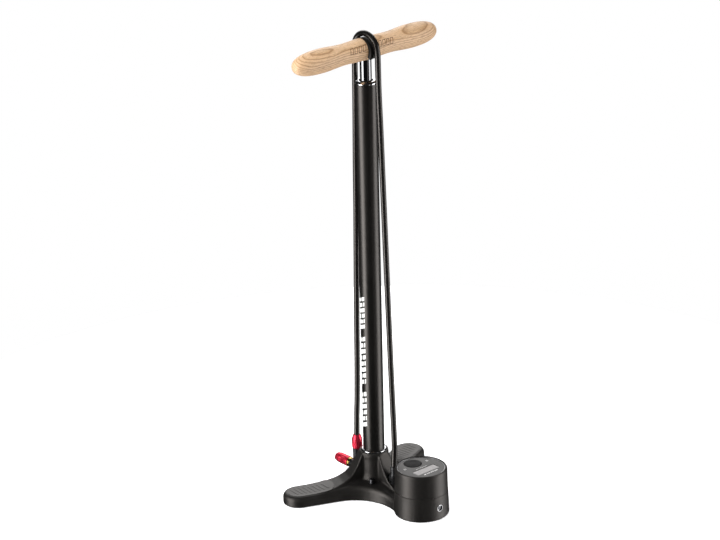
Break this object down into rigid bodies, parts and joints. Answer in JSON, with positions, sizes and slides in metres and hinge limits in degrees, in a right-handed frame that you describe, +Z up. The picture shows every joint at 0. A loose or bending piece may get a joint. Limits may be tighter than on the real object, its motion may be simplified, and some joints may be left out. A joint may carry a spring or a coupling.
{
  "type": "floor bike pump",
  "caption": "Upright floor pump for bicycle tyres with a wooden bar handle, a cast lobed foot, a round digital gauge, and a hose looped over the handle and parked at the hub.",
  "frame": {"origin": "on the floor, under the middle of the pump's box, measured without the hose and the chuck on it", "axes": "+Z up along the piston rod; +X along the handle; the gauge is towards -Y and the parked chuck towards +Y"},
  "size_m": [0.2522, 0.2159, 0.6758],
  "materials": {
    "cast_black": "powder coated, fine grain, matt",
    "barrel_black": "satin black paint",
    "polished_metal": "polished",
    "chrome": "dark chrome, polished",
    "screw_steel": "plain",
    "dark_steel": "blackened",
    "brass": "turned, bright",
    "red_anodised": "red anodised, satin",
    "black_anodised": "black anodised, satin",
    "gauge_plastic": "fine moulded grain",
    "face_plastic": "satin, printed rings",
    "inner_plastic": "as moulded",
    "guide_plastic": "as machined",
    "display": "grey liquid crystal under clear plastic",
    "board": "green circuit board",
    "black_rubber": "matt",
    "hose_rubber": "smooth, slightly glossy",
    "handle_wood": "turned and oiled, open grain"
  },
  "bodies": {
    "base": {"base_casting": "cast_black", "rubber_feet": "black_rubber", "barrel": "barrel_black", "barrel_ring": "polished_metal", "barrel_seal": "black_rubber", "barrel_cap": "black_anodised", "cap_ring": "polished_metal", "rod_bush": "inner_plastic", "rod_wiper": "black_rubber", "valve_seat": "brass", "valve_spring": "screw_steel", "deck_plug": "dark_steel", "gauge_housing": "gauge_plastic", "gauge_seal": "black_rubber", "gauge_ring": "screw_steel", "gauge_face": "face_plastic", "gauge_display": "display", "gauge_board": "board", "gauge_battery": "screw_steel", "pressure_sensor": "brass", "housing_screws": "screw_steel", "clamp_eyelet": "screw_steel", "clamp_screw": "dark_steel", "hose_fitting": "black_anodised", "hose_nut": "black_anodised", "hose": "hose_rubber", "hose_ferrule": "red_anodised", "chuck_body": "black_anodised", "chuck_ring": "brass", "chuck_seal": "black_rubber", "chuck_pin": "brass", "chuck_dock": "polished_metal"},
    "piston": {"piston": "inner_plastic", "piston_seal": "black_rubber", "piston_guide": "guide_plastic"},
    "plunger": {"piston_rod": "chrome", "rod_foot": "screw_steel", "rod_plug": "screw_steel", "piston_screw": "screw_steel", "rod_bumper": "black_rubber", "handle": "handle_wood", "hose_saddle": "inner_plastic", "handle_washer": "screw_steel", "handle_bolt": "dark_steel"},
    "button": {"gauge_button": "black_rubber"},
    "collar": {"chuck_collar": "red_anodised"},
    "poppet": {"valve_poppet": "black_rubber"}
  },
  "joints": [
    {"name": "pump_stroke", "type": "slide", "parent": "base", "child": "piston", "axis": [0, 0, 1], "range_m": [0, 0.485], "deforming": ["hose"]},
    {"name": "handle_turn", "type": "hinge", "parent": "piston", "child": "plunger", "pos_m": [0, 0.03552, 0.3], "axis": [0, 0, 1], "range_deg": [-8, 8]},
    {"name": "button_press", "type": "slide", "parent": "base", "child": "button", "axis": [0, 0, -1], "range_m": [0, 0.0012], "stiffness_N_per_m": 1500, "springref_m": -0.0004},
    {"name": "valve_lift", "type": "slide", "parent": "base", "child": "poppet", "axis": [0, 0, -1], "range_m": [0, 0.0015], "stiffness_N_per_m": 200, "springref_m": -0.001, "deforming": ["valve_spring"]},
    {"name": "chuck_collar_turn", "type": "hinge", "parent": "base", "child": "collar", "pos_m": [0, 0.10552, 0.025], "axis": [0, 1, 0], "continuous": true}
  ]
}
